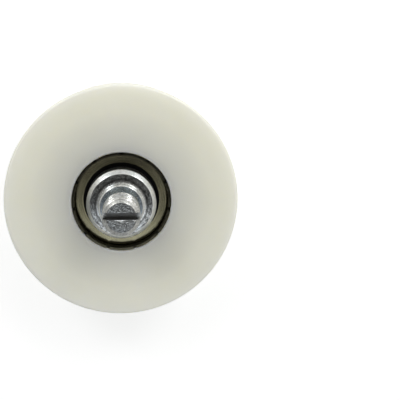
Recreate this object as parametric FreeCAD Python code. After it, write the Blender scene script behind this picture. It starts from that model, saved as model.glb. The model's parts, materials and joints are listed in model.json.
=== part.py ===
# Door roller: a grooved nylon wheel on two sealed ball bearings, held in a steel sleeve and carried by a threaded stud.
# Frame: millimetres, +Z along the stud to its tip, origin at the centre of the wheel's flat back, on which it lies.

import FreeCAD, Part
import math
import os

# Wheel, turned from nylon
WHEEL_DIAMETER = 80.0
WHEEL_WIDTH = 22.3
RIM_ROUNDING = 1.2
GROOVE_DEPTH = 6.7
GROOVE_RADIUS = 5.7
GROOVE_FLANK_ANGLE = 23.0
GROOVE_EDGE_ROUNDING = 0.6
BORE_EDGE_ROUNDING = 0.3
BACK_SHOULDER_THICKNESS = 1.5
BACK_SHOULDER_WIDTH = 2.0

# Sleeve, a steel cup pressed into the wheel
SLEEVE_WALL = 1.0
SLEEVE_LIP_THICKNESS = 1.4
SLEEVE_LIP_WIDTH = 1.5
SLEEVE_EDGE_ROUNDING = 0.15
NOTCH_COUNT = 11
NOTCH_WIDTH = 1.1
NOTCH_DEPTH = 0.9
NOTCH_FIRST_ANGLE = 90.0

# Ball bearings, two alike, named from the wheel's back to its face
BEARING_BORE = 15.0
BEARING_DIAMETER = 32.0
BEARING_WIDTH = 8.0
BEARING_NAMES = ("rear", "front")
INNER_SHOULDER_HEIGHT = 0.91
OUTER_SHOULDER_HEIGHT = 1.06
OUTER_RING_ROUNDING = 0.45
INNER_RING_ROUNDING = 0.3
BALL_DIAMETER = 4.762
BALL_COUNT = 9
BALL_CLEARANCE = 0.03
RACE_CONFORMITY = 0.53

# Bearing seals, rubber
SEAL_THICKNESS = 0.6
SEAL_RECESS = 0.2
SEAL_LIP_CLEARANCE = 0.15
SEAL_BEAD_WIDTH = 0.35
SEAL_BEAD_HEIGHT = 0.35
SEAL_FIT = 0.02

# Bearing cages, two pressed halves with rivets
CAGE_SHEET = 0.4
CAGE_RING_CLEARANCE = 0.35
POCKET_CLEARANCE = 0.1
RIVET_DIAMETER = 0.8
RIVET_HEAD_DIAMETER = 1.3
RIVET_HEAD_HEIGHT = 0.3
RIVET_FIT = 0.02

# Stud, turned steel
SEAT_FIT = 0.01
FOOT_INSET = 0.45
FOOT_HEIGHT = 0.6
FLANGE_DIAMETER = 23.6
FLANGE_THICKNESS = 7.45
FLANGE_RIM_HEIGHT = 5.8
FLANGE_RIM_ROUNDING = 0.5
FLANGE_FACE_DIAMETER = 21.0
FLANGE_FACE_ROUNDING = 0.8
STEP_DIAMETER = 16.8
STEP_HEIGHT = 0.45
COLLAR_DIAMETER = 15.0
COLLAR_LENGTH = 3.3
COLLAR_CHAMFER = 0.5
NECK_DIAMETER = 9.4
NECK_LENGTH = 2.8
NECK_FILLET = 0.4
THREAD_DIAMETER = 12.0
THREAD_LENGTH = 10.1
THREAD_START_CHAMFER = 0.9
THREAD_TIP_DIAMETER = 9.2
THREAD_TIP_CHAMFER = 1.0
SLOT_WIDTH = 2.2
SLOT_DEPTH = 1.8
SLOT_OFFSET = 0.4
TAIL_LAND = 1.3
TAIL_CHAMFER = 0.7

# Retaining ring on the stud's tail
CLIP_THICKNESS = 1.0
CLIP_GROOVE_PLAY = 0.1
CLIP_GROOVE_DEPTH = 0.35
CLIP_BACK_WIDTH = 2.2
CLIP_END_WIDTH = 1.2
CLIP_LUG_RADIUS = 1.6
CLIP_LUG_HOLE_DIAMETER = 1.5
CLIP_LUG_SPACING = 5.2

# Heights along the axle, worked out from the sizes above
BEARING_BACK = BACK_SHOULDER_THICKNESS + SLEEVE_LIP_THICKNESS
BEARING_FRONT = BEARING_BACK + len(BEARING_NAMES) * BEARING_WIDTH
FLANGE_BACK = BEARING_FRONT + FOOT_HEIGHT
FLANGE_FACE = FLANGE_BACK + FLANGE_THICKNESS
COLLAR_FACE = FLANGE_FACE + COLLAR_LENGTH
THREAD_START = COLLAR_FACE + NECK_LENGTH
THREAD_TIP = THREAD_START + THREAD_LENGTH
CLIP_GROOVE_BACK = BEARING_BACK - CLIP_THICKNESS - CLIP_GROOVE_PLAY
TAIL_END = CLIP_GROOVE_BACK - TAIL_LAND

# Radii, worked out from the sizes above
WHEEL_RADIUS = WHEEL_DIAMETER / 2
OUTER_RING_RADIUS = BEARING_DIAMETER / 2
SLEEVE_BORE_RADIUS = OUTER_RING_RADIUS + SEAT_FIT
SLEEVE_RADIUS = SLEEVE_BORE_RADIUS + SLEEVE_WALL
WHEEL_BORE_RADIUS = SLEEVE_RADIUS + SEAT_FIT
PITCH_RADIUS = (BEARING_BORE + BEARING_DIAMETER) / 4
BALL_RADIUS = BALL_DIAMETER / 2
BALL_REACH = BALL_RADIUS + BALL_CLEARANCE
INNER_SHOULDER = PITCH_RADIUS - BALL_REACH + INNER_SHOULDER_HEIGHT
OUTER_SHOULDER = PITCH_RADIUS + BALL_REACH - OUTER_SHOULDER_HEIGHT
RACE_RADIUS = RACE_CONFORMITY * BALL_DIAMETER
RACE_OFFSET = RACE_RADIUS - BALL_REACH
AXLE_RADIUS = BEARING_BORE / 2 - SEAT_FIT
CLIP_GROOVE_RADIUS = AXLE_RADIUS - CLIP_GROOVE_DEPTH
FOOT_RADIUS = INNER_SHOULDER - FOOT_INSET

ORIGIN = FreeCAD.Vector(0, 0, 0)
AXLE = FreeCAD.Vector(0, 0, 1)


def turned(corners):
    """A solid turned about the axle from (radius, height) corners, with a third value where a corner is rounded."""
    places = [FreeCAD.Vector(corner[0], 0, corner[1]) for corner in corners]
    starts = []
    ends = []
    arcs = []
    for index, corner in enumerate(corners):
        place = places[index]
        back = (places[index - 1] - place).normalize()
        ahead = (places[(index + 1) % len(places)] - place).normalize()
        half_angle = back.getAngle(ahead) / 2
        rounding = corner[2] if len(corner) > 2 else 0
        reach = rounding / math.tan(half_angle)
        starts.append(place + back * reach)
        ends.append(place + ahead * reach)
        if rounding:
            bulge = rounding / math.sin(half_angle) - rounding
            middle = place + (back + ahead).normalize() * bulge
            arcs.append(Part.Arc(starts[index], middle, ends[index]).toShape())
        else:
            arcs.append(None)
    edges = []
    for index, arc in enumerate(arcs):
        if arc:
            edges.append(arc)
        edges.append(Part.LineSegment(ends[index], starts[(index + 1) % len(starts)]).toShape())
    return Part.Face(Part.Wire(edges)).revolve(ORIGIN, AXLE, 360)


def disc(radius, bottom, top, centre=(0, 0)):
    """A plain cylinder along the axle, between two heights."""
    return Part.makeCylinder(radius, top - bottom, FreeCAD.Vector(centre[0], centre[1], bottom))


def around(radius, angle, height=0):
    """A place at a distance from the axle and an angle in degrees from +X."""
    turn = math.radians(angle)
    return FreeCAD.Vector(radius * math.cos(turn), radius * math.sin(turn), height)


def wheel():
    """The nylon wheel: a groove with a round bottom and flared flanks, and a bore with a shoulder at the back."""
    middle = WHEEL_WIDTH / 2
    flank = math.radians(GROOVE_FLANK_ANGLE)
    meeting_depth = GROOVE_DEPTH + GROOVE_RADIUS * (1 / math.sin(flank) - 1)
    half_mouth = meeting_depth * math.tan(flank)
    opening_radius = WHEEL_BORE_RADIUS - BACK_SHOULDER_WIDTH
    return turned([
        (opening_radius, 0, BORE_EDGE_ROUNDING),
        (WHEEL_RADIUS, 0, RIM_ROUNDING),
        (WHEEL_RADIUS, middle - half_mouth, GROOVE_EDGE_ROUNDING),
        (WHEEL_RADIUS - meeting_depth, middle, GROOVE_RADIUS),
        (WHEEL_RADIUS, middle + half_mouth, GROOVE_EDGE_ROUNDING),
        (WHEEL_RADIUS, WHEEL_WIDTH, RIM_ROUNDING),
        (WHEEL_BORE_RADIUS, WHEEL_WIDTH, BORE_EDGE_ROUNDING),
        (WHEEL_BORE_RADIUS, BACK_SHOULDER_THICKNESS),
        (opening_radius, BACK_SHOULDER_THICKNESS),
    ])


def bearing_sleeve():
    """The steel cup that holds both bearings, with a lip at the back and notches round its rim."""
    lip_radius = SLEEVE_BORE_RADIUS - SLEEVE_LIP_WIDTH
    cup = turned([
        (lip_radius, BACK_SHOULDER_THICKNESS),
        (SLEEVE_RADIUS, BACK_SHOULDER_THICKNESS),
        (SLEEVE_RADIUS, WHEEL_WIDTH, SLEEVE_EDGE_ROUNDING),
        (SLEEVE_BORE_RADIUS, WHEEL_WIDTH, SLEEVE_EDGE_ROUNDING),
        (SLEEVE_BORE_RADIUS, BEARING_BACK),
        (lip_radius, BEARING_BACK),
    ])
    notches = []
    for number in range(NOTCH_COUNT):
        corner = FreeCAD.Vector(lip_radius, -NOTCH_WIDTH / 2, WHEEL_WIDTH - NOTCH_DEPTH)
        notch = Part.makeBox(SLEEVE_RADIUS, NOTCH_WIDTH, WHEEL_WIDTH, corner)
        notch.rotate(ORIGIN, AXLE, NOTCH_FIRST_ANGLE + number * 360 / NOTCH_COUNT)
        notches.append(notch)
    return cup.cut(notches)


def race(pitch, middle):
    """The ring-shaped space in which the balls run, as a torus about the axle."""
    return Part.makeTorus(pitch, RACE_RADIUS, FreeCAD.Vector(0, 0, middle))


def outer_ring(back):
    """A bearing's outer ring, with its race and a groove near each face for the seal's bead."""
    front = back + BEARING_WIDTH
    ring = turned([
        (OUTER_SHOULDER, back),
        (OUTER_RING_RADIUS, back, OUTER_RING_ROUNDING),
        (OUTER_RING_RADIUS, front, OUTER_RING_ROUNDING),
        (OUTER_SHOULDER, front),
    ])
    ring = ring.cut(race(PITCH_RADIUS - RACE_OFFSET, (back + front) / 2))
    groove_radius = OUTER_SHOULDER + SEAL_BEAD_HEIGHT
    half_width = SEAL_BEAD_WIDTH / 2 + SEAL_FIT
    depth = SEAL_RECESS + SEAL_THICKNESS / 2
    for height in (back + depth, front - depth):
        ring = ring.cut(disc(groove_radius, height - half_width, height + half_width))
    return ring


def inner_ring(back):
    """A bearing's inner ring, with its race."""
    front = back + BEARING_WIDTH
    bore_radius = BEARING_BORE / 2
    ring = turned([
        (bore_radius, back, INNER_RING_ROUNDING),
        (INNER_SHOULDER, back, INNER_RING_ROUNDING),
        (INNER_SHOULDER, front, INNER_RING_ROUNDING),
        (bore_radius, front, INNER_RING_ROUNDING),
    ])
    return ring.cut(race(PITCH_RADIUS + RACE_OFFSET, (back + front) / 2))


def seal(middle):
    """A rubber seal: a disc whose bead sits in the outer ring and whose lip runs clear of the inner ring."""
    half_thickness = SEAL_THICKNESS / 2
    half_bead = SEAL_BEAD_WIDTH / 2
    lip_radius = INNER_SHOULDER + SEAL_LIP_CLEARANCE
    rim_radius = OUTER_SHOULDER - SEAL_FIT
    bead_radius = OUTER_SHOULDER + SEAL_BEAD_HEIGHT - SEAL_FIT
    return turned([
        (lip_radius, middle - half_thickness),
        (rim_radius, middle - half_thickness),
        (rim_radius, middle - half_bead),
        (bead_radius, middle - half_bead),
        (bead_radius, middle + half_bead),
        (rim_radius, middle + half_bead),
        (rim_radius, middle + half_thickness),
        (lip_radius, middle + half_thickness),
    ])


def ball_angles():
    """The angles of the balls round the axle."""
    return [number * 360 / BALL_COUNT for number in range(BALL_COUNT)]


def rivet_places(height):
    """The places of the rivets, each halfway between two balls."""
    return [around(PITCH_RADIUS, angle + 180 / BALL_COUNT, height) for angle in ball_angles()]


def cage_half(middle, side):
    """Half of a pressed cage: a flat ring with a round pocket over each ball, on one side (+1 or -1) of the middle."""
    inside = INNER_SHOULDER + CAGE_RING_CLEARANCE
    outside = OUTER_SHOULDER - CAGE_RING_CLEARANCE
    pocket_radius = BALL_RADIUS + POCKET_CLEARANCE
    reach = pocket_radius + CAGE_SHEET
    sheet = disc(outside, min(0, side * CAGE_SHEET), max(0, side * CAGE_SHEET))
    shells = []
    pockets = []
    for angle in ball_angles():
        place = around(PITCH_RADIUS, angle)
        shells.append(Part.makeSphere(reach, place))
        pockets.append(Part.makeSphere(pocket_radius, place))
    band = disc(outside, min(0, side * reach), max(0, side * reach))
    band = band.cut(disc(inside, -reach, reach))
    holes = []
    for place in rivet_places(0):
        holes.append(disc(RIVET_DIAMETER / 2 + RIVET_FIT, -reach, reach, (place.x, place.y)))
    half = sheet.fuse(shells).common(band).cut(pockets).cut(holes)
    half.translate(FreeCAD.Vector(0, 0, middle))
    return half


def cage_rivets(middle):
    """The rivets that hold the two cage halves together, as one group of separate solids."""
    rivets = []
    for place in rivet_places(middle):
        rivet = turned([
            (0, -CAGE_SHEET - RIVET_HEAD_HEIGHT),
            (RIVET_DIAMETER / 2, -CAGE_SHEET - RIVET_HEAD_HEIGHT),
            (RIVET_HEAD_DIAMETER / 2, -CAGE_SHEET),
            (RIVET_DIAMETER / 2, -CAGE_SHEET),
            (RIVET_DIAMETER / 2, CAGE_SHEET),
            (RIVET_HEAD_DIAMETER / 2, CAGE_SHEET),
            (RIVET_DIAMETER / 2, CAGE_SHEET + RIVET_HEAD_HEIGHT),
            (0, CAGE_SHEET + RIVET_HEAD_HEIGHT),
        ])
        rivet.translate(place)
        rivets.append(rivet)
    return Part.makeCompound(rivets)


def bearing(name, back):
    """All the pieces of one bearing, by node name."""
    middle = back + BEARING_WIDTH / 2
    seal_reach = BEARING_WIDTH / 2 - SEAL_RECESS - SEAL_THICKNESS / 2
    pieces = {
        name + "_outer_ring": outer_ring(back),
        name + "_inner_ring": inner_ring(back),
        name + "_seal_upper": seal(middle + seal_reach),
        name + "_seal_lower": seal(middle - seal_reach),
        name + "_cage_upper": cage_half(middle, 1),
        name + "_cage_lower": cage_half(middle, -1),
        name + "_cage_rivets": cage_rivets(middle),
    }
    for number, angle in enumerate(ball_angles(), 1):
        pieces[f"{name}_ball_{number}"] = Part.makeSphere(BALL_RADIUS, around(PITCH_RADIUS, angle, middle))
    return pieces


def axle_stud():
    """The stud: tail with a clip groove, bearing seat, flange, collar, neck, and a plain thread with a driver slot."""
    face_radius = FLANGE_FACE_DIAMETER / 2
    collar_radius = COLLAR_DIAMETER / 2
    neck_radius = NECK_DIAMETER / 2
    thread_radius = THREAD_DIAMETER / 2
    stud = turned([
        (0, TAIL_END),
        (CLIP_GROOVE_RADIUS, TAIL_END),
        (AXLE_RADIUS, TAIL_END + TAIL_CHAMFER),
        (AXLE_RADIUS, CLIP_GROOVE_BACK),
        (CLIP_GROOVE_RADIUS, CLIP_GROOVE_BACK),
        (CLIP_GROOVE_RADIUS, BEARING_BACK),
        (AXLE_RADIUS, BEARING_BACK),
        (AXLE_RADIUS, BEARING_FRONT),
        (FOOT_RADIUS, BEARING_FRONT),
        (FOOT_RADIUS, FLANGE_BACK),
        (FLANGE_DIAMETER / 2, FLANGE_BACK),
        (FLANGE_DIAMETER / 2, FLANGE_BACK + FLANGE_RIM_HEIGHT, FLANGE_RIM_ROUNDING),
        (face_radius, FLANGE_FACE, FLANGE_FACE_ROUNDING),
        (STEP_DIAMETER / 2, FLANGE_FACE),
        (collar_radius, FLANGE_FACE + STEP_HEIGHT),
        (collar_radius, COLLAR_FACE - COLLAR_CHAMFER),
        (collar_radius - COLLAR_CHAMFER, COLLAR_FACE),
        (neck_radius, COLLAR_FACE, NECK_FILLET),
        (neck_radius, THREAD_START),
        (thread_radius, THREAD_START + THREAD_START_CHAMFER),
        (thread_radius, THREAD_TIP - THREAD_TIP_CHAMFER),
        (THREAD_TIP_DIAMETER / 2, THREAD_TIP),
        (0, THREAD_TIP),
    ])
    corner = FreeCAD.Vector(-THREAD_DIAMETER, SLOT_OFFSET - SLOT_WIDTH / 2, THREAD_TIP - SLOT_DEPTH)
    slot = Part.makeBox(2 * THREAD_DIAMETER, SLOT_WIDTH, 2 * SLOT_DEPTH, corner)
    return stud.cut(slot)


def retaining_ring():
    """The open spring ring behind the bearings: widest at its back, with a holed lug at each end."""
    top = BEARING_BACK
    bottom = top - CLIP_THICKNESS
    inside = CLIP_GROOVE_RADIUS + SEAT_FIT
    radius = inside + (CLIP_BACK_WIDTH + CLIP_END_WIDTH) / 2
    shift = (CLIP_BACK_WIDTH - CLIP_END_WIDTH) / 2
    half_spacing = CLIP_LUG_SPACING / 2
    lug_distance = math.sqrt((inside + CLIP_LUG_RADIUS) ** 2 - half_spacing ** 2)
    lugs = []
    holes = []
    for side in (-1, 1):
        lugs.append(disc(CLIP_LUG_RADIUS, bottom, top, (side * half_spacing, lug_distance)))
        holes.append(disc(CLIP_LUG_HOLE_DIAMETER / 2, bottom, top, (side * half_spacing, lug_distance)))
    gap_corner = FreeCAD.Vector(-half_spacing, 0, bottom)
    gap = Part.makeBox(CLIP_LUG_SPACING, 2 * radius, CLIP_THICKNESS, gap_corner)
    ring = disc(radius, bottom, top, (0, -shift)).cut(gap)
    return ring.fuse(lugs).cut(holes + [disc(inside, bottom, top)])


nodes = {
    "wheel": wheel(),
    "bearing_sleeve": bearing_sleeve(),
    "axle_stud": axle_stud(),
    "retaining_ring": retaining_ring(),
}
for number, name in enumerate(BEARING_NAMES):
    nodes.update(bearing(name, BEARING_BACK + number * BEARING_WIDTH))

os.makedirs("parts", exist_ok=True)
for node, shape in nodes.items():
    shape.exportStep(f"parts/{node}.step")
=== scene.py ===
import functools
import json
import math
from types import SimpleNamespace

import bmesh
import bpy
from mathutils import Matrix, Vector, noise

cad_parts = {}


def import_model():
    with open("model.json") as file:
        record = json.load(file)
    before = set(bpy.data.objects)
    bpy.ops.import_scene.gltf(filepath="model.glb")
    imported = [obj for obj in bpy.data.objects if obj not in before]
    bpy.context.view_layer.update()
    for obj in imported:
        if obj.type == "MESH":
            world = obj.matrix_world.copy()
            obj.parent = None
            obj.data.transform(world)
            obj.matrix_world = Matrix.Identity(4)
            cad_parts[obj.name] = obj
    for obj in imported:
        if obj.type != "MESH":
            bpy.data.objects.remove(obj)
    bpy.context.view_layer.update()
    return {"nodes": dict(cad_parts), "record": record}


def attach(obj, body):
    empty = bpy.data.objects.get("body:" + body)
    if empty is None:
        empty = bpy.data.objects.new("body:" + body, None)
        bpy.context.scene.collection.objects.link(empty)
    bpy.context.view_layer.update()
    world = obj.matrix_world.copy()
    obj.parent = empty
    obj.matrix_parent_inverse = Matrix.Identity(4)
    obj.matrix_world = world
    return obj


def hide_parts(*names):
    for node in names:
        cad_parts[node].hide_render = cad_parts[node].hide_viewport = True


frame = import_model()
scene = bpy.context.scene
scene.view_settings.view_transform = "Standard"

MM = 0.001

# Sizes of the wheel and the stud in millimetres, the same as the solids'
WHEEL_WIDTH, GROOVE_HALF_MOUTH, SLEEVE_RADIUS = 22.3, 6.6, 17.0
TAIL_END, CLIP_GROOVE_BACK, BEARING_BACK, BEARING_FRONT = 0.5, 1.8, 2.9, 18.9
FLANGE_BACK, FLANGE_FACE, COLLAR_FACE, THREAD_START, THREAD_TIP = 19.5, 26.95, 30.25, 33.05, 43.15
CLIP_GROOVE_RADIUS, AXLE_RADIUS, FOOT_RADIUS, TAIL_CHAMFER = 7.14, 7.49, 9.8, 0.7
FLANGE_RADIUS, FLANGE_RIM_HEIGHT, FLANGE_RIM_ROUNDING = 11.8, 5.8, 0.5
FACE_RADIUS, FACE_ROUNDING, STEP_RADIUS, STEP_HEIGHT = 10.5, 0.8, 8.4, 0.45
COLLAR_RADIUS, COLLAR_CHAMFER, NECK_RADIUS, NECK_FILLET = 7.5, 0.5, 4.7, 0.4
THREAD_RADIUS, THREAD_PITCH, TIP_RADIUS = 6.0, 1.75, 4.6
START_CHAMFER, TIP_CHAMFER = 0.9, 1.0
SLOT_WIDTH, SLOT_DEPTH, SLOT_OFFSET = 2.2, 1.8, 0.4

# Finish of the stud, and how far out the painted shade in the thread's root reaches, in millimetres
EDGE_BREAK, COLLAR_ROUNDING, ROOT_SHADE_RADIUS = 0.2, 0.5, 5.15
BURR_STEP, BURR_SINK, BURR_HEIGHT, BURR_WIDTH = 0.12, 0.05, 0.24, 0.55
BURR_LUMPS, BURR_WAVES_PER_MM, BURR_NOISE_ROW = ((-0.3, 1.2), (4.1, 0.4)), 3.1, 8.2

# Mesh of the stud: points round it and across a ridge, the thread's depth as a share of its pitch, how fat
# its crests are, the distances in metres within which points are merged, and the angle of a sharp edge
SEGMENTS, THREAD_STEPS, THREAD_DEPTH, CREST_POWER = 96, 16, 0.6134, 2.2
GRID_MERGE, SHELL_MERGE, SHARP_ANGLE = 0.000002, 0.000003, math.radians(32)


# The mix node's sockets for colours, which share their names with its sockets for numbers
COLOUR_A, COLOUR_B, COLOUR_RESULT = 6, 7, 2


# Node helpers

def add(tree, kind, inputs=None, **settings):
    """Adds a node, sets its properties, and links or sets its inputs."""
    node = tree.nodes.new(kind)
    for key, value in settings.items():
        setattr(node, key, value)
    for key, value in (inputs or {}).items():
        if isinstance(value, bpy.types.NodeSocket):
            tree.links.new(value, node.inputs[key])
        else:
            node.inputs[key].default_value = value
    return node


def maths(tree, operation, *values):
    """A math node's result."""
    return add(tree, "ShaderNodeMath", dict(enumerate(values)), operation=operation).outputs[0]


def span(tree, value, low, high, to_low, to_high):
    """A value mapped from one range to another and held inside it."""
    inputs = {"Value": value, "From Min": low, "From Max": high, "To Min": to_low, "To Max": to_high}
    return add(tree, "ShaderNodeMapRange", inputs).outputs["Result"]


def blend(tree, share, first, second):
    """One colour over another. A colour is a socket or three values."""
    inputs = {"Factor": share, COLOUR_A: first, COLOUR_B: second}
    for key in (COLOUR_A, COLOUR_B):
        if isinstance(inputs[key], tuple):
            inputs[key] = (*inputs[key], 1.0)
    return add(tree, "ShaderNodeMix", inputs, data_type="RGBA").outputs[COLOUR_RESULT]


# Materials

class Look:
    """A material with its shader and the coordinates that its patterns use."""

    def __init__(self, name, **constants):
        self.material = bpy.data.materials.new(name)
        self.material.use_nodes = True
        self.tree = self.material.node_tree
        self.shader = self.tree.nodes["Principled BSDF"]
        for socket, value in constants.items():
            self.shader.inputs[socket.replace("_", " ")].default_value = value
        self.place = self.add("ShaderNodeTexCoord").outputs["Object"]
        parts = self.add("ShaderNodeSeparateXYZ", {0: self.place}).outputs
        flat = self.add("ShaderNodeCombineXYZ", {"X": parts["X"], "Y": parts["Y"]}).outputs[0]
        self.height = parts["Z"]
        self.radius = self.add("ShaderNodeVectorMath", {0: flat}, operation="LENGTH").outputs["Value"]
        self.heading = self.add("ShaderNodeVectorMath", {0: flat}, operation="NORMALIZE").outputs["Vector"]

    def add(self, kind, inputs=None, **settings):
        return add(self.tree, kind, inputs, **settings)

    def maths(self, operation, *values):
        return maths(self.tree, operation, *values)

    def span(self, *values):
        return span(self.tree, *values)

    def times(self, first, second):
        return self.maths("MULTIPLY", first, second)

    def most(self, *values):
        """The largest of some values."""
        return functools.reduce(lambda first, second: self.maths("MAXIMUM", first, second), values)

    def beyond(self, value, place, soft):
        """0 short of a place in millimetres and 1 past it, with a soft edge."""
        return self.span(value, (place - soft) * MM, (place + soft) * MM, 0.0, 1.0)

    def within(self, value, place, soft):
        """1 short of a place in millimetres and 0 past it, with a soft edge."""
        return self.span(value, (place - soft) * MM, (place + soft) * MM, 1.0, 0.0)

    def between(self, value, low, high, soft=0.3):
        """1 between two places in millimetres and 0 elsewhere, with soft edges."""
        return self.times(self.beyond(value, low, soft), self.within(value, high, soft))

    def noise(self, scale, detail=2.0, roughness=0.5):
        """A noise in space, with features about 1/scale metres across."""
        inputs = {"Vector": self.place, "Scale": scale, "Detail": detail, "Roughness": roughness}
        return self.add("ShaderNodeTexNoise", inputs).outputs["Fac"]

    def turning_marks(self, per_metre, breaks):
        """Fine rings left by a turning tool, on faces and cylinders alike, broken up along their length."""
        height_share = 0.83
        along = self.add("ShaderNodeVectorMath", {0: self.heading, "Scale": breaks}, operation="SCALE")
        across = self.maths("ADD", self.radius, self.times(self.height, height_share))
        lift = self.add("ShaderNodeCombineXYZ", {"Z": self.times(across, per_metre)})
        where = self.add("ShaderNodeVectorMath", {0: along.outputs[0], 1: lift.outputs[0]}, operation="ADD")
        inputs = {"Vector": where.outputs[0], "Scale": 1.0, "Detail": 3.0, "Roughness": 0.6}
        return self.add("ShaderNodeTexNoise", inputs).outputs["Fac"]

    def mix(self, share, first, second):
        return blend(self.tree, share, first, second)

    def set(self, socket, value):
        self.tree.links.new(value, self.shader.inputs[socket])

    def bump(self, height, strength, distance):
        """Surface relief, over what is there already."""
        inputs = {"Height": height, "Strength": strength, "Distance": distance}
        if self.shader.inputs["Normal"].is_linked:
            inputs["Normal"] = self.shader.inputs["Normal"].links[0].from_socket
        self.set("Normal", self.add("ShaderNodeBump", inputs).outputs["Normal"])


def nylon():
    """Off-white turned nylon: translucent, with dark specks in the groove. Its colour holds painted shade
    near the bearing and a painted paler lip at the bore.
    """
    look = Look("nylon", Subsurface_Weight=0.8, Subsurface_Scale=0.010, IOR=1.5)
    look.shader.inputs["Subsurface Radius"].default_value = (1.0, 0.95, 0.78)
    base = look.mix(look.noise(70.0, 4.0, 0.55), (0.78, 0.775, 0.685), (0.83, 0.825, 0.745))
    # Painted shade: the base colour greys towards the bearing, standing in for the shade on the nylon near
    # the hub.
    rise = look.span(look.radius, SLEEVE_RADIUS * MM, (SLEEVE_RADIUS + 2.0) * MM, 0.10, 0.60)
    fall = look.span(look.radius, (SLEEVE_RADIUS - 0.5) * MM, (SLEEVE_RADIUS + 14.0) * MM, 0.60, 0.0)
    base = look.mix(look.maths("MINIMUM", rise, fall), base, (0.56, 0.56, 0.505))
    # Painted light: the lip at the bore's edge is made paler, making up for the shade it falls into near the
    # bore.
    lip = look.between(look.radius, SLEEVE_RADIUS - 0.5, SLEEVE_RADIUS + 0.6, 0.2)
    base = look.mix(look.times(lip, 0.7), base, (0.92, 0.92, 0.86))
    middle = WHEEL_WIDTH / 2
    in_groove = look.between(look.height, middle - GROOVE_HALF_MOUTH, middle + GROOVE_HALF_MOUTH)
    cells = look.add("ShaderNodeTexVoronoi", {"Vector": look.place, "Scale": 330.0})
    draw = look.add("ShaderNodeSeparateColor", {0: cells.outputs["Color"]}).outputs[0]
    chosen = look.maths("GREATER_THAN", draw, look.span(in_groove, 0.0, 1.0, 1.0, 0.35))
    speck = look.times(look.span(cells.outputs["Distance"], 0.03, 0.075, 0.75, 0.0), chosen)
    look.set("Base Color", look.mix(speck, base, (0.16, 0.13, 0.10)))
    look.set("Roughness", look.span(look.noise(220.0, 3.0), 0.3, 0.7, 0.30, 0.44))
    look.bump(look.turning_marks(2600.0, 3.0), 0.12, 0.0001)
    look.bump(look.noise(300.0), 0.05, 0.0004)
    return look.material


def stud_zones(look):
    """The stud's faces, each as a value that is 1 on the face and 0 elsewhere."""
    rim_top, tip_start = FLANGE_BACK + FLANGE_RIM_HEIGHT, THREAD_TIP - TIP_CHAMFER
    height, radius = look.height, look.radius
    zone = SimpleNamespace()
    zone.flange_side = look.times(look.between(height, FLANGE_BACK, rim_top),
                                  look.beyond(radius, FLANGE_RADIUS - 0.4, 0.2))
    zone.flange_edge = look.times(look.between(height, rim_top, FLANGE_FACE, 0.1),
                                  look.beyond(radius, FACE_RADIUS - 0.35, 0.15))
    zone.flange_face = look.between(height, FLANGE_FACE - 0.08, FLANGE_FACE + 0.08, 0.04)
    zone.foot = look.times(zone.flange_face, look.between(radius, STEP_RADIUS + 0.05, STEP_RADIUS + 0.5, 0.1))
    zone.step = look.times(look.between(height, FLANGE_FACE + 0.08, FLANGE_FACE + STEP_HEIGHT + 0.1, 0.04),
                           look.between(radius, COLLAR_RADIUS - 0.1, STEP_RADIUS, 0.1))
    zone.neck = look.between(height, COLLAR_FACE - 0.05, THREAD_START, 0.05)
    zone.thread = look.between(height, THREAD_START + 0.3, tip_start)
    zone.root = look.times(zone.thread, look.within(radius, ROOT_SHADE_RADIUS, 0.25))
    zone.slot = look.times(look.between(height, THREAD_TIP - SLOT_DEPTH, THREAD_TIP - 0.2, 0.1),
                           look.within(radius, TIP_RADIUS, 0.1))
    zone.tip_edge = look.between(height, tip_start, THREAD_TIP - 0.15, 0.05)
    zone.tip_face = look.between(height, THREAD_TIP - 0.1, THREAD_TIP + 0.05, 0.03)
    zone.burr = look.beyond(height, THREAD_TIP + 0.045, 0.015)
    return zone


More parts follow.
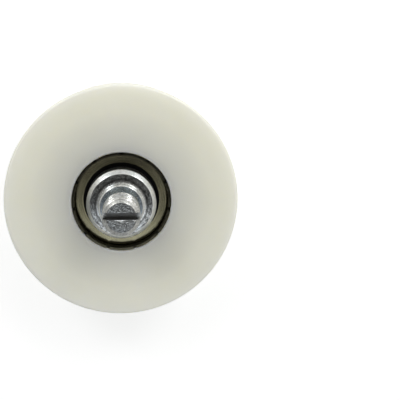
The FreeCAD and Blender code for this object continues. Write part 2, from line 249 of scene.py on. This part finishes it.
def zinc():
    """Zinc-plated turned steel: bright edges, grainy faces, turning marks, a random bluish tone, and painted
    shade:
    near black on the flange's face, bluish grey on the neck, darker on the flange's edge towards -X, and dark
    at the collar's foot, in the slot and at the thread's root."""
    look = Look("zinc_plated_steel")
    zone = stud_zones(look)
    grain = look.noise(2100.0, 3.0, 0.6)
    rings = look.turning_marks(5200.0, 7.0)
    clean = look.most(zone.flange_edge, zone.thread, zone.step)
    # A random bluish tone of the plating, and on the neck a painted bluish shade.
    blue_tone_and_neck_shade = look.most(look.span(look.noise(150.0), 0.4, 0.62, 0.0, 0.35), zone.neck)
    patches = look.times(look.span(look.turning_marks(900.0, 4.0), 0.45, 0.62, 0.0, 0.45),
                         look.span(clean, 0.0, 1.0, 1.0, 0.6))
    fleck_share = look.maths("ADD", look.span(clean, 0.0, 1.0, 0.5, 0.25), look.times(zone.tip_edge, 0.35))
    flecks = look.times(look.span(grain, 0.42, 0.62, 0.0, 1.0), fleck_share)
    # Grain and turning streaks on the flange's face, over painted shade that makes the face near black for
    # the dark it reflects.
    streaks_and_shade = look.span(look.maths("ADD", rings, grain), 0.94, 1.06, 0.97, 0.05)
    speckle = look.span(look.noise(3400.0, 2.0), 0.42, 0.60, 0.95, 0.35)
    towards_x = look.add("ShaderNodeSeparateXYZ", {0: look.heading}).outputs["X"]
    layers = (
        (blue_tone_and_neck_shade, (0.46, 0.53, 0.58)),
        (patches, (0.24, 0.245, 0.245)),
        (flecks, (0.22, 0.22, 0.215)),
        (look.times(zone.tip_edge, 0.3), (0.22, 0.22, 0.21)),
        (look.times(zone.thread, look.span(rings, 0.42, 0.56, 0.80, 0.08)), (0.28, 0.28, 0.268)),
        (look.times(zone.flange_face, streaks_and_shade), (0.045, 0.045, 0.043)),
        (look.times(zone.tip_face, speckle), (0.10, 0.10, 0.095)),
        (look.times(zone.flange_side, look.span(rings, 0.42, 0.58, 0.95, 0.35)), (0.24, 0.24, 0.228)),
        # Painted shade: the flange's edge is darker on its -X side, where less light falls.
        (look.times(zone.flange_edge, look.span(towards_x, -0.995, -0.86, 0.65, 0.0)), (0.16, 0.16, 0.155)),
        # Painted shade: a dark ring on the flange's face at the collar's foot, where the corner lies in
        # shade.
        (look.times(zone.foot, 0.7), (0.05, 0.05, 0.048)),
        # Painted shade: the thread's roots are darkened, standing in for the shade between its turns.
        (look.times(zone.root, 0.75), (0.07, 0.07, 0.065)),
        # Painted shade: the inside of the slot is darkened, standing in for the shade in the recess.
        (look.times(zone.slot, 0.92), (0.045, 0.045, 0.044)),
        (zone.burr, (0.64, 0.64, 0.62)),
    )
    base = (0.74, 0.745, 0.72)
    for share, colour in layers:
        base = look.mix(share, base, colour)
    look.set("Base Color", base)
    look.set("Metallic", look.maths("MINIMUM", look.span(zone.slot, 0.0, 1.0, 1.0, 0.35),
                                    look.span(zone.flange_face, 0.0, 1.0, 1.0, 0.80)))
    polish = look.maths("SUBTRACT", look.span(grain, 0.3, 0.7, 0.16, 0.30),
                        look.times(zone.flange_face, 0.05))
    dull = look.most(look.times(zone.flange_side, 0.3), zone.slot, zone.tip_edge)
    look.set("Roughness", look.maths("ADD", polish, look.times(dull, 0.25)))
    look.bump(rings, look.span(zone.flange_face, 0.0, 1.0, 0.35, 0.30), 0.00005)
    look.bump(grain, look.span(zone.tip_face, 0.0, 1.0, 0.22, 0.75), 0.0001)
    return look.material


def bearing_steel():
    """Ground bearing steel under a film of preserving oil, which gives it an olive cast."""
    look = Look("bearing_steel", Metallic=1.0, Coat_Weight=1.0, Coat_Roughness=0.08)
    film = look.span(look.noise(180.0, 3.0), 0.35, 0.65, 0.0, 1.0)
    look.set("Base Color", look.mix(film, (0.50, 0.46, 0.29), (0.42, 0.39, 0.24)))
    look.set("Roughness", look.span(look.turning_marks(4200.0, 1.5), 0.3, 0.7, 0.13, 0.24))
    look.bump(look.turning_marks(7000.0, 1.5), 0.12, 0.00004)
    return look.material


def black_steel():
    """Blackened steel with a brown cast and a slightly uneven skin, with painted shade near black in the
    notches below the rim.
    """
    look = Look("blackened_steel", Metallic=1.0)
    skin = look.noise(900.0, 4.0, 0.6)
    base = look.mix(look.span(skin, 0.35, 0.65, 0.0, 1.0), (0.075, 0.070, 0.046), (0.120, 0.112, 0.080))
    # Painted shade: below the rim, in the notches and the recess, the steel is made near black.
    sunk_shade = look.between(look.height, WHEEL_WIDTH - 1.5, WHEEL_WIDTH - 0.5)
    look.set("Base Color", look.mix(look.times(sunk_shade, 0.85), base, (0.004, 0.004, 0.003)))
    look.set("Roughness", look.span(skin, 0.3, 0.7, 0.12, 0.22))
    look.bump(skin, 0.08, 0.00005)
    return look.material


def rubber():
    """Matt black seal rubber with a fine moulded grain."""
    look = Look("seal_rubber", Specular_IOR_Level=0.06)
    grain = look.noise(3000.0, 3.0, 0.6)
    look.set("Base Color", look.mix(grain, (0.002, 0.002, 0.002), (0.005, 0.005, 0.004)))
    look.set("Roughness", look.span(grain, 0.3, 0.7, 0.55, 0.75))
    look.bump(grain, 0.2, 0.00004)
    return look.material


def cage_steel():
    """Pressed cage sheet, with a drawn, mottled finish."""
    look = Look("cage_steel", Metallic=1.0)
    mottle = look.noise(1200.0, 3.0)
    look.set("Base Color", look.mix(mottle, (0.46, 0.44, 0.40), (0.58, 0.56, 0.52)))
    look.set("Roughness", look.span(mottle, 0.3, 0.7, 0.28, 0.45))
    look.bump(mottle, 0.15, 0.00005)
    return look.material


LOOKS = {
    "nylon": nylon(),
    "zinc_plated_steel": zinc(),
    "bearing_steel": bearing_steel(),
    "blackened_steel": black_steel(),
    "seal_rubber": rubber(),
    "cage_steel": cage_steel(),
}
for subpart in frame["record"]["subparts"]:
    node = frame["nodes"][subpart["node"]]
    node.data.materials.clear()
    node.data.materials.append(LOOKS[subpart["material_slot"]])


# Stud with a cut thread

def thread_tree():
    """A right-hand thread with round crests: a ribbon wound round Z, cut to a cone at its start and tip."""
    tree = bpy.data.node_groups.new("thread", "GeometryNodeTree")
    kinds = {"Turns": "Int", "Segments": "Int", "Steps": "Int", "Material": "Material"}
    sockets = {}
    for name in ("Pitch", "Radius", "Root Radius", "Start", "End", "Start Radius", "Start Chamfer",
                 "Tip Radius", "Tip Chamfer", *kinds):
        kind = "NodeSocket" + kinds.get(name, "Float")
        sockets[name] = tree.interface.new_socket(name, in_out="INPUT", socket_type=kind).identifier
    tree.interface.new_socket("Geometry", in_out="OUTPUT", socket_type="NodeSocketGeometry")
    given = add(tree, "NodeGroupInput").outputs
    calc = functools.partial(maths, tree)

    # Where a point of the ribbon lies: its turn round the axis and its share of the way across
    columns = calc("ADD", given["Steps"], 1.0)
    rows = calc("ADD", calc("MULTIPLY", given["Turns"], given["Segments"]), 1.0)
    shape = add(tree, "GeometryNodeMeshGrid", {"Vertices X": rows, "Vertices Y": columns}).outputs["Mesh"]
    index = add(tree, "GeometryNodeInputIndex").outputs[0]
    row = calc("FLOOR", calc("DIVIDE", calc("ADD", index, 0.5), columns))
    turn = calc("DIVIDE", row, given["Segments"])
    share = calc("DIVIDE", calc("FLOORED_MODULO", index, columns), given["Steps"])
    wound = calc("SUBTRACT", calc("ADD", turn, share), 1.0)
    height = calc("ADD", given["Start"], calc("MULTIPLY", wound, given["Pitch"]))

    # How far it lies from the axis: on the ridge, or on a cone where that is nearer
    from_crest = calc("MULTIPLY", calc("ABSOLUTE", calc("SUBTRACT", share, 0.5)), 2.0)
    fall = calc("POWER", from_crest, CREST_POWER)
    ridge = span(tree, fall, 0.0, 1.0, given["Radius"], given["Root Radius"])
    start_end = calc("ADD", given["Start"], given["Start Chamfer"])
    start_cone = span(tree, height, given["Start"], start_end, given["Start Radius"], given["Radius"])
    tip_start = calc("SUBTRACT", given["End"], given["Tip Chamfer"])
    tip_cone = span(tree, height, tip_start, given["End"], given["Radius"], given["Tip Radius"])
    radius = calc("MINIMUM", ridge, calc("MINIMUM", start_cone, tip_cone))

    angle = calc("MULTIPLY", turn, 2 * math.pi)
    place = add(tree, "ShaderNodeCombineXYZ", {
        "X": calc("MULTIPLY", radius, calc("COSINE", angle)),
        "Y": calc("MULTIPLY", radius, calc("SINE", angle)),
        "Z": calc("MINIMUM", calc("MAXIMUM", height, given["Start"]), given["End"]),
    }).outputs[0]
    for kind, inputs in (
        ("GeometryNodeSetPosition", {"Position": place}),
        ("GeometryNodeMergeByDistance", {"Distance": GRID_MERGE}),
        ("GeometryNodeRealizeInstances", {}),
        ("GeometryNodeSetMaterial", {"Material": given["Material"]}),
    ):
        shape = add(tree, kind, {"Geometry": shape, **inputs}).outputs[0]
    add(tree, "NodeGroupOutput", {"Geometry": shape})
    return tree, sockets


def plain_mesh(obj):
    """The object's evaluated shape as a mesh of its own."""
    bpy.context.view_layer.update()
    return bpy.data.meshes.new_from_object(obj.evaluated_get(bpy.context.evaluated_depsgraph_get()))


def new_object(name, data):
    """An object at the origin, in the scene."""
    obj = bpy.data.objects.new(name, data)
    scene.collection.objects.link(obj)
    return obj


def object_from(name, shape):
    """An object whose mesh is what a bmesh holds."""
    mesh = bpy.data.meshes.new(name)
    shape.to_mesh(mesh)
    shape.free()
    return new_object(name, mesh)


def thread_mesh():
    """The thread between the neck and the tip."""
    tree, sockets = thread_tree()
    maker = new_object("thread_maker", bpy.data.meshes.new("thread_maker"))
    modifier = maker.modifiers.new("thread", "NODES")
    modifier.node_group = tree
    values = {
        "Pitch": THREAD_PITCH * MM,
        "Radius": THREAD_RADIUS * MM,
        "Root Radius": (THREAD_RADIUS - THREAD_DEPTH * THREAD_PITCH) * MM,
        "Start": THREAD_START * MM,
        "End": THREAD_TIP * MM,
        "Start Radius": NECK_RADIUS * MM,
        "Tip Radius": TIP_RADIUS * MM,
        "Start Chamfer": START_CHAMFER * MM,
        "Tip Chamfer": TIP_CHAMFER * MM,
        "Segments": SEGMENTS,
        "Steps": THREAD_STEPS,
        "Turns": math.ceil((THREAD_TIP - THREAD_START) / THREAD_PITCH) + 1,
        "Material": LOOKS["zinc_plated_steel"],
    }
    for name, value in values.items():
        modifier[sockets[name]] = value
    mesh = plain_mesh(maker)
    bpy.data.objects.remove(maker)
    return mesh


def rounded(corners, steps=6):
    """A profile of (radius, height) points, with an arc at each corner whose third value is a rounding."""
    points = []
    for index, corner in enumerate(corners):
        place = Vector(corner[:2])
        if len(corner) < 3:
            points.append(place)
            continue
        back = (Vector(corners[index - 1][:2]) - place).normalized()
        ahead = (Vector(corners[index + 1][:2]) - place).normalized()
        half_angle = back.angle(ahead) / 2
        centre = place + (back + ahead).normalized() * corner[2] / math.sin(half_angle)
        start = place + back * corner[2] / math.tan(half_angle) - centre
        end = place + ahead * corner[2] / math.tan(half_angle) - centre
        sweep = start.angle_signed(end)
        for step in range(steps + 1):
            points.append(centre + Matrix.Rotation(-sweep * step / steps, 2) @ start)
    return points


def lathe(shape, points):
    """Adds to a bmesh the surface that a profile sweeps round Z. A point on the axis closes it."""
    rings = []
    for radius, height in points:
        if radius < 1e-9:
            rings.append([shape.verts.new((0, 0, height * MM))])
            continue
        ring = []
        for number in range(SEGMENTS):
            turn = 2 * math.pi * number / SEGMENTS
            across, along = radius * MM * math.cos(turn), radius * MM * math.sin(turn)
            ring.append(shape.verts.new((across, along, height * MM)))
        rings.append(ring)
    for lower, upper in zip(rings, rings[1:]):
        for number in range(SEGMENTS):
            following = (number + 1) % SEGMENTS
            corners = [lower[number % len(lower)], lower[following % len(lower)],
                       upper[following % len(upper)], upper[number % len(upper)]]
            shape.faces.new(list(dict.fromkeys(corners)))


def stud_body():
    """The turned stud with its thread, as one closed shell."""
    shape = bmesh.new()
    shape.from_mesh(thread_mesh())
    lathe(shape, rounded([
        (0, TAIL_END),
        (CLIP_GROOVE_RADIUS, TAIL_END),
        (AXLE_RADIUS, TAIL_END + TAIL_CHAMFER),
        (AXLE_RADIUS, CLIP_GROOVE_BACK),
        (CLIP_GROOVE_RADIUS, CLIP_GROOVE_BACK),
        (CLIP_GROOVE_RADIUS, BEARING_BACK),
        (AXLE_RADIUS, BEARING_BACK),
        (AXLE_RADIUS, BEARING_FRONT),
        (FOOT_RADIUS, BEARING_FRONT),
        (FOOT_RADIUS, FLANGE_BACK),
        (FLANGE_RADIUS, FLANGE_BACK, EDGE_BREAK),
        (FLANGE_RADIUS, FLANGE_BACK + FLANGE_RIM_HEIGHT, FLANGE_RIM_ROUNDING),
        (FACE_RADIUS, FLANGE_FACE, FACE_ROUNDING),
        (STEP_RADIUS, FLANGE_FACE),
        (COLLAR_RADIUS, FLANGE_FACE + STEP_HEIGHT),
        (COLLAR_RADIUS, COLLAR_FACE - COLLAR_CHAMFER, COLLAR_ROUNDING),
        (COLLAR_RADIUS - COLLAR_CHAMFER, COLLAR_FACE, EDGE_BREAK),
        (NECK_RADIUS, COLLAR_FACE, NECK_FILLET),
        (NECK_RADIUS, THREAD_START),
    ]))
    lathe(shape, [(TIP_RADIUS, THREAD_TIP), (0, THREAD_TIP)])
    bmesh.ops.remove_doubles(shape, verts=shape.verts, dist=SHELL_MERGE)
    bmesh.ops.recalc_face_normals(shape, faces=shape.faces)
    return object_from("stud_body", shape)


def slot_burr():
    """The ragged ridge that the cutter left along the slot's lower edge, thick at its middle and far end."""
    edge = SLOT_OFFSET - SLOT_WIDTH / 2
    half_length = math.sqrt(TIP_RADIUS ** 2 - (abs(edge) + BURR_WIDTH) ** 2)
    count = round(2 * half_length / BURR_STEP)
    shape = bmesh.new()
    sections = []
    for number in range(count + 1):
        along = half_length * (2 * number / count - 1)
        lump = sum(math.exp(-((along - middle) / reach) ** 2) for middle, reach in BURR_LUMPS)
        ragged = 0.7 + 0.6 * noise.noise(Vector((along * BURR_WAVES_PER_MM, BURR_NOISE_ROW, 0.0)))
        width = BURR_WIDTH * (0.2 + 0.8 * lump)
        height = BURR_HEIGHT * (0.15 + 0.85 * lump) * ragged
        corners = (
            (edge + BURR_SINK, -BURR_SINK),
            (edge + BURR_SINK, height),
            (edge - 0.5 * width, 0.75 * height),
            (edge - width, 0.1 * height),
            (edge - width, -BURR_SINK),
        )
        sections.append([shape.verts.new((along * MM, y * MM, (THREAD_TIP + z) * MM)) for y, z in corners])
    for first, second in zip(sections, sections[1:]):
        for number in range(len(first)):
            following = (number + 1) % len(first)
            shape.faces.new((first[number], first[following], second[following], second[number]))
    shape.faces.new(sections[0])
    shape.faces.new(sections[-1])
    bmesh.ops.recalc_face_normals(shape, faces=shape.faces)
    return object_from("slot_burr", shape)


def slot_cutter():
    """The block that the driver slot is cut with."""
    size = Matrix.Diagonal((4 * THREAD_RADIUS * MM, SLOT_WIDTH * MM, 2 * SLOT_DEPTH * MM, 1))
    shape = bmesh.new()
    place = Matrix.Translation((0, SLOT_OFFSET * MM, THREAD_TIP * MM))
    bmesh.ops.create_cube(shape, size=1, matrix=place @ size)
    return object_from("slot_cutter", shape)


def threaded_stud():
    """The whole stud: turned body, thread, driver slot and its burr."""
    body = stud_body()
    tools = [("UNION", slot_burr()), ("DIFFERENCE", slot_cutter())]
    for operation, tool in tools:
        step = body.modifiers.new(tool.name, "BOOLEAN")
        step.operation = operation
        step.solver = "EXACT"
        step.object = tool
    mesh = plain_mesh(body)
    for obj in (body, *(tool for operation, tool in tools)):
        bpy.data.objects.remove(obj)
    mesh.name = "threaded_stud"
    mesh.materials.clear()
    mesh.materials.append(LOOKS["zinc_plated_steel"])
    mesh.shade_smooth()
    mesh.set_sharp_from_angle(angle=SHARP_ANGLE)
    piece = new_object("threaded_stud", mesh)
    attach(piece, "axle")
    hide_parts("axle_stud")


threaded_stud()


# Floor, light and camera

def floor():
    """A pale floor that keeps the shadow, white to the camera and, on its +Y side, to polished faces."""
    reach, drop = 3.0, -0.00005
    mesh = bpy.data.meshes.new("floor")
    corners = [(-reach, -reach, drop), (reach, -reach, drop), (reach, reach, drop), (-reach, reach, drop)]
    mesh.from_pydata(corners, [], [(0, 1, 2, 3)])
    plane = new_object("floor", mesh)
    made = bpy.data.materials.new("floor")
    made.use_nodes = True
    tree = made.node_tree
    tree.nodes.clear()
    rays = add(tree, "ShaderNodeLightPath").outputs
    spot = add(tree, "ShaderNodeTexCoord").outputs["Object"]
    towards_y = add(tree, "ShaderNodeSeparateXYZ", {0: spot}).outputs["Y"]
    away = add(tree, "ShaderNodeVectorMath", {0: spot}, operation="LENGTH").outputs["Value"]
    mirrored = maths(tree, "MULTIPLY", rays["Is Glossy Ray"], span(tree, towards_y, 0.0, 0.25, 0.0, 0.42))
    shown = maths(tree, "MULTIPLY", rays["Is Camera Ray"], span(tree, away, 0.20, 0.60, 0.42, 0.52))
    plain = add(tree, "ShaderNodeBsdfDiffuse", {"Color": (0.88, 0.88, 0.88, 1)}).outputs[0]
    lift = add(tree, "ShaderNodeEmission", {"Strength": maths(tree, "MAXIMUM", shown, mirrored)}).outputs[0]
    both = add(tree, "ShaderNodeAddShader", {0: plain, 1: lift}).outputs[0]
    add(tree, "ShaderNodeOutputMaterial", {"Surface": both})
    mesh.materials.append(made)


def world():
    """White to the camera. The roller is lit by a horizon that is palest towards +X and +Y and by a pale
    patch high at -Y, with dark overhead. Polished faces see the horizon pale all round."""
    scene.world = bpy.data.worlds.new("studio")
    scene.world.use_nodes = True
    tree = scene.world.node_tree
    tree.nodes.clear()
    generated = add(tree, "ShaderNodeTexCoord").outputs["Generated"]
    way = add(tree, "ShaderNodeSeparateXYZ", {0: generated}).outputs
    side = maths(tree, "ADD", maths(tree, "MULTIPLY", way["X"], 0.72),
                 maths(tree, "MULTIPLY", way["Y"], 0.70))
    horizon = maths(tree, "MINIMUM", span(tree, way["Z"], 0.0, 0.45, 0.58, 1.02),
                    span(tree, way["Z"], 0.50, 0.88, 1.02, 0.05))
    horizon = maths(tree, "MULTIPLY", horizon, span(tree, side, -1.0, 1.0, 0.40, 1.36))
    ceiling = maths(tree, "POWER", span(tree, way["Y"], -0.20, -0.36, 0.0, 1.0), 2.3)
    ceiling = maths(tree, "MULTIPLY", ceiling, span(tree, way["Z"], 0.60, 0.80, 0.0, 1.75))
    rays = add(tree, "ShaderNodeLightPath").outputs
    mirrored = maths(tree, "MULTIPLY", rays["Is Glossy Ray"], span(tree, way["Z"], 0.20, 0.50, 0.85, 0.0))
    level = maths(tree, "MAXIMUM", maths(tree, "MAXIMUM", horizon, mirrored), ceiling)
    colour = blend(tree, ceiling, (1.0, 0.985, 0.945), (0.95, 1.0, 1.06))
    surround = add(tree, "ShaderNodeBackground", {"Color": colour, "Strength": level}).outputs[0]
    white = add(tree, "ShaderNodeBackground", {"Color": (1, 1, 1, 1)}).outputs[0]
    shown = add(tree, "ShaderNodeMixShader", {0: rays["Is Camera Ray"], 1: surround, 2: white}).outputs[0]
    add(tree, "ShaderNodeOutputWorld", {"Surface": shown})


def lamp(name, place, width, height, power):
    """An upright soft light that points at the roller."""
    data = bpy.data.lights.new(name, "AREA")
    data.shape = "RECTANGLE"
    data.size = width
    data.size_y = height
    data.energy = power
    aim = Vector((0, 0, 0.02))
    obj = new_object(name, data)
    obj.location = place
    obj.rotation_euler = (aim - Vector(place)).to_track_quat("-Z", "Y").to_euler()


def camera():
    """The photograph's front view: from above, a little towards +Y, with the roller left of the middle."""
    tilt, pan, distance, focal_pixels, picture_pixels = 0.1190, -0.0311, 0.185, 551.1, 400
    aim = Vector((0.00633, 0.02122, WHEEL_WIDTH * MM))
    back = Vector((math.sin(pan) * math.cos(tilt), math.sin(tilt), math.cos(tilt) * math.cos(pan)))
    right = Vector((0, 1, 0)).cross(back).normalized()
    up = back.cross(right)
    data = bpy.data.cameras.new("camera")
    data.sensor_width = 36
    data.lens = focal_pixels / picture_pixels * data.sensor_width
    data.shift_x = 0.15
    data.shift_y = -0.15
    data.clip_start = 0.01
    obj = new_object("camera", data)
    turned = Matrix((right, up, back)).transposed().to_4x4()
    obj.matrix_world = Matrix.Translation(aim + back * distance) @ turned
    scene.camera = obj


floor()
world()
lamp("back_left", (-0.212, 0.253, 0.164), 0.11, 0.284, 0.34)
lamp("back_right", (0.203, 0.260, 0.164), 0.11, 0.284, 0.32)
camera()
